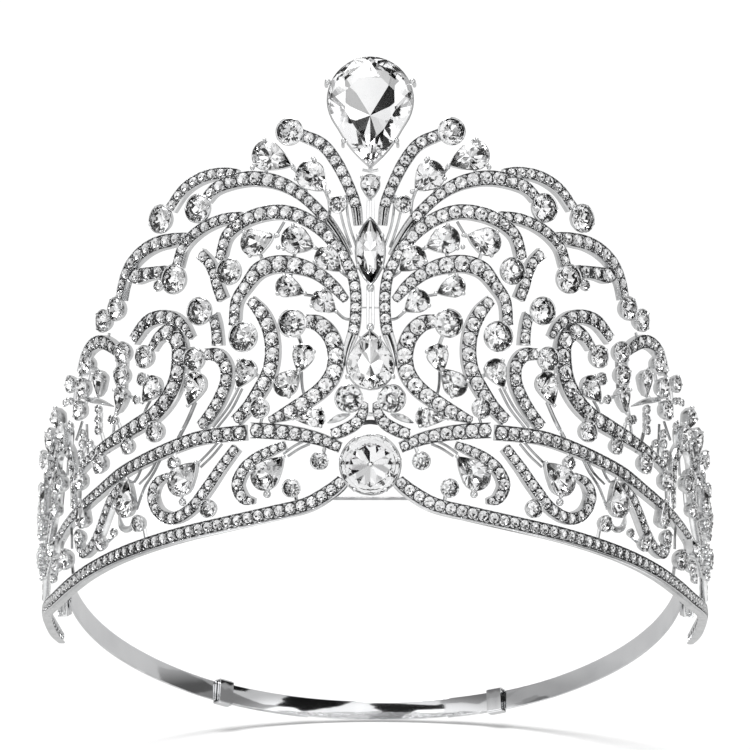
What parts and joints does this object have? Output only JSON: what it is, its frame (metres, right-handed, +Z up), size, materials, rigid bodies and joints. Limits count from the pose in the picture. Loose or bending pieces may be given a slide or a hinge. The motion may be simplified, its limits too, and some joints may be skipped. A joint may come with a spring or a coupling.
{
  "type": "bridal tiara",
  "caption": "Openwork bridal tiara of crystal-set scrolls on two rails, with a large pear stone on top and a plain back band that slides in two folded sleeves.",
  "frame": {"origin": "centre of the head opening, on the upright axis of the openwork wall, in the sloping plane of the back band", "axes": "+Z up along the axis of the wall as the tiara is worn, -Y towards the front with the large stones, +X to the viewer's right from the front; the back band slopes down 27.9 degrees towards +Y"},
  "size_m": [0.1624, 0.1662, 0.1596],
  "materials": {
    "cast_silver": "bright silver-coloured plating on cast scrolls",
    "polished_band": "mirror-polished strip",
    "crystal": "clear foil-backed faceted crystal"
  },
  "bodies": {
    "crown": {"base_rail_left": "cast_silver", "base_rail_right": "cast_silver", "cross_wire": "cast_silver", "curl_link_left": "cast_silver", "curl_link_right": "cast_silver", "drop_link_left": "cast_silver", "drop_link_right": "cast_silver", "end_arch_left": "cast_silver", "end_arch_right": "cast_silver", "end_bracket_left": "cast_silver", "end_bracket_right": "cast_silver", "far_arch_left": "cast_silver", "far_arch_right": "cast_silver", "heart_limb_left": "cast_silver", "heart_limb_right": "cast_silver", "heart_stem_left": "cast_silver", "heart_stem_right": "cast_silver", "high_plume_left": "cast_silver", "high_plume_right": "cast_silver", "hook_scroll_left": "cast_silver", "hook_scroll_right": "cast_silver", "inner_heart_left": "cast_silver", "inner_heart_right": "cast_silver", "leaf_scroll_left": "cast_silver", "leaf_scroll_right": "cast_silver", "low_plume_left": "cast_silver", "low_plume_right": "cast_silver", "lower_pear_collet": "cast_silver", "lower_pear_stone": "crystal", "marquise_collet": "cast_silver", "marquise_stone": "crystal", "mid_scroll_left": "cast_silver", "mid_scroll_right": "cast_silver", "outer_arch_left": "cast_silver", "outer_arch_right": "cast_silver", "outer_heart_left": "cast_silver", "outer_heart_right": "cast_silver", "rail_chain_left": "cast_silver", "rail_chain_right": "cast_silver", "rail_scroll_left": "cast_silver", "rail_scroll_right": "cast_silver", "rivoli_collet": "cast_silver", "rivoli_stone": "crystal", "side_arch_left": "cast_silver", "side_arch_right": "cast_silver", "side_strip_left": "polished_band", "side_strip_right": "polished_band", "top_pear_collet": "cast_silver", "top_pear_stone": "crystal", "top_plume_left": "cast_silver", "top_plume_right": "cast_silver", "upper_pear_stone": "crystal", "upper_rail_inner_left": "cast_silver", "upper_rail_inner_right": "cast_silver", "upper_rail_outer_left": "cast_silver", "upper_rail_outer_right": "cast_silver"},
    "adjuster": {"middle_strip": "polished_band", "sleeve_left": "polished_band", "sleeve_right": "polished_band"}
  },
  "joints": [
    {"name": "adjuster_slide", "type": "hinge", "parent": "crown", "child": "adjuster", "pos_m": [0, 0.01882, -0.00997], "axis": [0, 0.4679, 0.8838], "range_deg": [-14, 4]}
  ]
}
